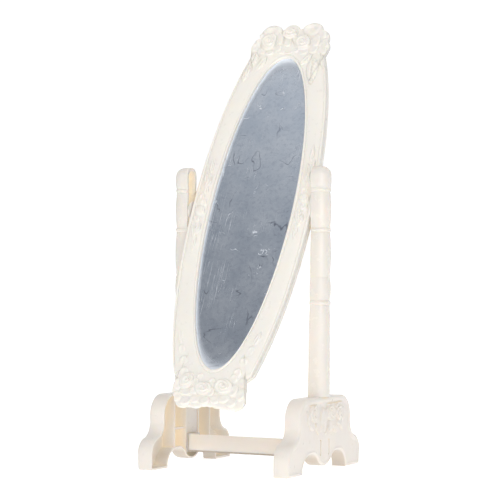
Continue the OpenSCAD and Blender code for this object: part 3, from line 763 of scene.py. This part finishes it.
def ivory(name, tint, rough, glow, weight, painted_glow_strength=0.0, arches=False, rim=0.0):
    """Moulded ivory plastic: faint flow mottling, painted warm shade in hollows, fine surface grain, and
    inside deep hollows a darker painted shade and a warm painted glow where the glow strength is above zero.
    `arches` paints shade on the soffits under a foot, and `rim` sets the painted shade on walls that face
    sideways in x."""
    m, tree, bsdf = new_material(name)
    where = node(tree, "ShaderNodeTexCoord").outputs["Object"]
    cloud = noise(tree, where, 46.0, 4.0, 0.55)
    flow = noise(tree, where, 210.0, 3.0, 0.6)
    grain = noise(tree, where, 1500.0, 2.0)
    patches = ramp(tree, cloud, [(0.35, 0), (0.68, 1)])
    streaks = ramp(tree, flow, [(0.5, 0), (0.78, 0.22)])
    base = mix(tree, patches, scaled(tint, 0.975), scaled(tint, 1.012, 1.006, 0.99))
    base = mix(tree, streaks, base, scaled(tint, 0.96, 0.93, 0.86))
    # painted shade: a warmer, darker tone where the surface is closed in by itself, in hollows and creases
    hollow = ramp(tree, openness(tree, 0.0040 if rim else 0.0028), [(0.20, 1), (0.78, 0)])
    base = mix(tree, hollow, base, scaled(tint, 0.86, 0.79, 0.69) if rim else scaled(tint, 0.92, 0.86, 0.77))
    if painted_glow_strength:
        # painted shade and painted glow: a darker tone and a warm emission deep in hollows
        deep = openness(tree, 0.016)
        base = mix(tree, ramp(tree, deep, [(0.2, 1), (0.8, 0)]), base, scaled(tint, 0.86, 0.78, 0.66))
        painted_glow_colour = ramp(tree, deep, [(0.2, (0.98, 0.87, 0.65)), (0.66, BLACK)])
        tree.links.new(painted_glow_colour, bsdf.inputs["Emission Color"])
        bsdf.inputs["Emission Strength"].default_value = painted_glow_strength
    sideways = absolute(tree, axes(tree, node(tree, "ShaderNodeNewGeometry").outputs["Normal"])["X"])
    if arches:
        # painted shade: a darker tan under the arches, between the legs, on faces that don't face sideways in
        # x
        at = axes(tree, where)
        height, leg = ARCH_H * MM, LEG_Y * MM
        low = ramp(tree, at["Z"], [(height, 1), (height + 0.0004, 0)])
        between = ramp(tree, absolute(tree, at["Y"]), [(leg + 0.0001, 1), (leg + 0.0005, 0)])
        flank = ramp(tree, sideways, [(0.2, 1), (0.45, 0)])
        painted_soffit_shade = mix(tree, 1.0, mix(tree, 1.0, low, between, "MULTIPLY"), flank, "MULTIPLY")
        base = mix(tree, painted_soffit_shade, base, scaled(tint, 0.81, 0.77, 0.72))
    if rim:
        # painted shade: walls that face sideways in x are darkened to `rim` times the tint
        base = mix(tree, ramp(tree, sideways, [(0.55, 0), (0.80, 1)]), base, scaled(tint, rim))
    tree.links.new(base, bsdf.inputs["Base Color"])
    tree.links.new(ramp(tree, flow, [(0.3, rough - 0.05), (0.7, rough + 0.08)]), bsdf.inputs["Roughness"])
    relief(tree, bsdf, (cloud, 0.12, 0.0002), (grain, 0.10, 0.00005))
    bsdf.inputs["IOR"].default_value = 1.49
    bsdf.inputs["Specular IOR Level"].default_value = 0.45
    bsdf.inputs["Subsurface Weight"].default_value = weight
    bsdf.inputs["Subsurface Radius"].default_value = (1.0, 0.68, 0.42)
    bsdf.inputs["Subsurface Scale"].default_value = glow
    return m


def lines(tree, where, turn, stretch, scale, width, seed, mask_scale, mask_low, mask_high):
    """Thin broken lines: the level line of a stretched noise, kept only where a second noise is high."""
    move = node(tree, "ShaderNodeMapping", where, i_Rotation=(0, math.radians(turn), 0), i_Scale=stretch,
                i_Location=(seed, seed * 1.7, seed * 0.6))
    shift = node(tree, "ShaderNodeMapping", where, i_Location=(seed * 2.1, seed, seed * 3.3))
    waves = noise(tree, move.outputs["Vector"], scale, 2.5, 0.45)
    level = node(tree, "ShaderNodeMath", waves, operation="SUBTRACT")
    level.inputs[1].default_value = 0.5
    line = ramp(tree, absolute(tree, level.outputs[0]), [(0.0, 1), (width, 0)])
    mask = ramp(tree, noise(tree, shift.outputs["Vector"], mask_scale, 3.0), [(mask_low, 0), (mask_high, 1)])
    return mix(tree, mask, BLACK, line)


def pale_margin(tree, where):
    """A pale, rougher margin round the glass, wider on its left."""
    oval = node(tree, "ShaderNodeMapping", where, vector_type="TEXTURE", i_Location=(0, 0, PIVOT_Z * MM),
                i_Rotation=(-TILT, 0, 0), i_Scale=(GLASS_A * MM, 10.0, GLASS_B * MM)).outputs["Vector"]
    reach = node(tree, "ShaderNodeVectorMath", oval, operation="LENGTH").outputs["Value"]
    margin = ramp(tree, reach, [(0.915, 0), (0.975, 0.3), (1.0, 0.9)])
    left = ramp(tree, axes(tree, oval)["X"], [(0.0, 1), (0.35, 0.15)])
    return mix(tree, 1.0, margin, left, "MULTIPLY")


def mirror_film():
    """Metallised film on plastic: a blue-grey mirror with clouding, pale scratches, dark hairline cracks and
    a pale, rougher margin."""
    m, tree, bsdf = new_material("scratched_mirror_film")
    where = node(tree, "ShaderNodeTexCoord").outputs["Object"]
    cloud = noise(tree, where, 60.0, 5.0, 0.6)
    speck = noise(tree, where, 420.0, 3.0, 0.7)
    base = mix(tree, ramp(tree, cloud, [(0.35, 0), (0.65, 1)]), (0.58, 0.645, 0.735), (0.70, 0.755, 0.83))
    base = mix(tree, ramp(tree, speck, [(0.36, 0.32), (0.50, 0)]), base, (0.42, 0.46, 0.55))
    steep = lines(tree, where, 12, (1, 1, 0.35), 60.0, 0.008, 0.31, 70.0, 0.55, 0.64)
    flat = lines(tree, where, 0, (0.4, 1, 1.6), 50.0, 0.008, 0.83, 80.0, 0.56, 0.66)
    crack = mix(tree, 0.8, BLACK, mix(tree, 1.0, steep, flat, "ADD"))
    base = mix(tree, crack, base, (0.16, 0.18, 0.24))
    hair = lines(tree, where, 2, (34, 1, 0.5), 20.0, 0.012, 1.7, 30.0, 0.50, 0.66)
    nick = lines(tree, where, 24, (1, 1, 1.2), 90.0, 0.010, 2.9, 120.0, 0.60, 0.68)
    pale = mix(tree, 1.0, mix(tree, 0.45, BLACK, hair), mix(tree, 0.7, BLACK, nick), "ADD")
    # a pale, rougher margin round the glass, wider on its left
    pale = mix(tree, 1.0, pale, pale_margin(tree, where), "ADD")
    tree.links.new(mix(tree, pale, base, (0.93, 0.95, 0.98)), bsdf.inputs["Base Color"])
    rough = mix(tree, 1.0, ramp(tree, cloud, [(0.3, 0.10), (0.7, 0.16)]), pale, "ADD")
    tree.links.new(rough, bsdf.inputs["Roughness"])
    bsdf.inputs["Metallic"].default_value = 1.0
    relief(tree, bsdf, (cloud, 0.10, 0.0003), (pale, 0.25, 0.0001))
    return m


MIRROR_TINT = (0.86, 0.83, 0.775)
# every ivory has painted shade in its hollows; frame and back painted side shade, posts and feet a painted
# glow, feet painted shade under the arches
FRAME_IVORY = ivory("ivory_frame", MIRROR_TINT, 0.30, 0.0008, 0.3, rim=0.82)
BACK_IVORY = ivory("ivory_back", MIRROR_TINT, 0.32, 0.0008, 0.3, rim=0.93)
POST_IVORY = ivory("ivory_posts", (0.775, 0.74, 0.69), 0.23, 0.0016, 0.45, painted_glow_strength=0.42)
FOOT_IVORY = ivory("ivory_feet", (0.79, 0.745, 0.695), 0.32, 0.0008, 0.3, painted_glow_strength=0.30, arches=True)
BAR_IVORY = ivory("ivory_bar", (0.81, 0.765, 0.72), 0.34, 0.0020, 0.5)
FILM = mirror_film()

# ---------------------------------------------------------------- pieces
for side, word in ((-1, "left"), (1, "right")):
    add_mesh(f"{word}_shell_foot", foot(side), FOOT_IVORY, "stand", f"{word}_foot", 32)
    add_mesh(f"{word}_turned_post", post(side), POST_IVORY, "stand", f"{word}_post", 40)
add_mesh("channel_crossbar", bar(), BAR_IVORY, "stand", "crossbar")
add_mesh("rose_oval_frame", [oval_frame()], FRAME_IVORY, "mirror", "mirror_frame", 60)
add_mesh("mirror_film_sheet", [mirror_disc()], FILM, "mirror", "mirror_sheet")
tray = [*back_tray(), *lug(-1), *lug(1)]
add_mesh("back_tray_with_lugs", tray, BACK_IVORY, "mirror", "back_cover")


# ---------------------------------------------------------------- stage, light and camera, in metres
def studio():
    """A pale floor that curves up into a wall behind the object."""
    mesh = bpy.data.meshes.new("studio_floor")
    half, depth, high, bend = 4.0, 2.6, 3.4, 0.8
    profile = [(-half, 0.0), (depth - bend, 0.0)]
    profile += [(depth - bend + bend * math.sin(a), bend - bend * math.cos(a))
                for a in np.linspace(0.1, math.pi / 2, 14)]
    profile.append((depth, high))
    verts = [(x, y, z) for y, z in profile for x in (-half, half)]
    faces = [(2 * k, 2 * k + 1, 2 * k + 3, 2 * k + 2) for k in range(len(profile) - 1)]
    mesh.from_pydata(verts, [], faces)
    mesh.shade_smooth()
    m, tree, bsdf = new_material("pale_paper")
    where = node(tree, "ShaderNodeTexCoord").outputs["Object"]
    paper = ramp(tree, noise(tree, where, 3.0, 3.0), [(0.3, 0.93), (0.7, 0.95)])
    tree.links.new(paper, bsdf.inputs["Base Color"])
    bsdf.inputs["Roughness"].default_value = 0.9
    bsdf.inputs["Emission Color"].default_value = (1, 1, 1, 1)
    bsdf.inputs["Emission Strength"].default_value = 0.45
    mesh.materials.append(m)
    obj = bpy.data.objects.new("studio_floor", mesh)
    bpy.context.scene.collection.objects.link(obj)


def soft_box(name, place, width, height, watts):
    """A rectangular light that faces the middle of the object."""
    light = bpy.data.lights.new(name, "AREA")
    light.shape = "RECTANGLE"
    light.size = width
    light.size_y = height
    light.energy = watts
    obj = bpy.data.objects.new(name, light)
    obj.location = place
    obj.rotation_euler = (Vector((0, 0, 0.13)) - Vector(place)).to_track_quat("-Z", "Y").to_euler()
    bpy.context.scene.collection.objects.link(obj)


def sky():
    """Even grey light all round, with a bright band at the height that the tilted mirror shows at its top."""
    world = bpy.data.worlds.new("studio_world")
    world.use_nodes = True
    bpy.context.scene.world = world
    tree = world.node_tree
    up = axes(tree, node(tree, "ShaderNodeTexCoord").outputs["Generated"])["Z"]
    colour = ramp(tree, up, [
        (0.0, 0.535), (0.62, (0.48, 0.48, 0.49)), (0.70, (0.45, 0.455, 0.47)), (0.735, (0.52, 0.53, 0.55)),
        (0.76, (0.70, 0.71, 0.73)), (0.79, (0.97, 0.98, 1.0)), (0.84, (0.785, 0.785, 0.79)), (1.0, 0.554),
    ])
    background = tree.nodes["Background"]
    tree.links.new(colour, background.inputs["Color"])
    background.inputs["Strength"].default_value = 0.78


def long_lens(azimuth, elevation, roll, aim, distance, focal):
    """A camera turned round the object by angles in degrees, looking at a point from a distance."""
    camera = bpy.data.cameras.new("photo_camera")
    camera.sensor_width = 36.0
    camera.lens = focal
    camera.clip_end = 20
    az, el, roll = (math.radians(v) for v in (azimuth, elevation, roll))
    back = Vector((math.sin(az) * math.cos(el), -math.cos(az) * math.cos(el), math.sin(el)))
    level = Vector((math.cos(az), math.sin(az), 0))
    upright = back.cross(level)
    right = math.cos(roll) * level + math.sin(roll) * upright
    up = -math.sin(roll) * level + math.cos(roll) * upright
    obj = bpy.data.objects.new("photo_camera", camera)
    turn = Matrix((right, up, back)).transposed().to_4x4()
    obj.matrix_world = Matrix.Translation(Vector(aim) + distance * back) @ turn
    bpy.context.scene.collection.objects.link(obj)
    bpy.context.scene.camera = obj


studio()
soft_box("soft_key", (0.10, -1.05, 0.85), 0.7, 0.7, 4.0)
soft_box("soft_fill", (0.72, -1.00, 0.22), 0.5, 0.4, 3.1)
soft_box("soft_top", (0.1, 0.15, 1.3), 0.9, 0.9, 2.3)
soft_box("soft_left", (-1.1, 0.05, 0.5), 0.7, 0.8, 0.3)
sky()
bpy.context.scene.view_settings.view_transform = "Standard"
long_lens(26.13, -0.32, 0.42, (-0.00138, 0, 0.1313), 1.22138, 144.87)
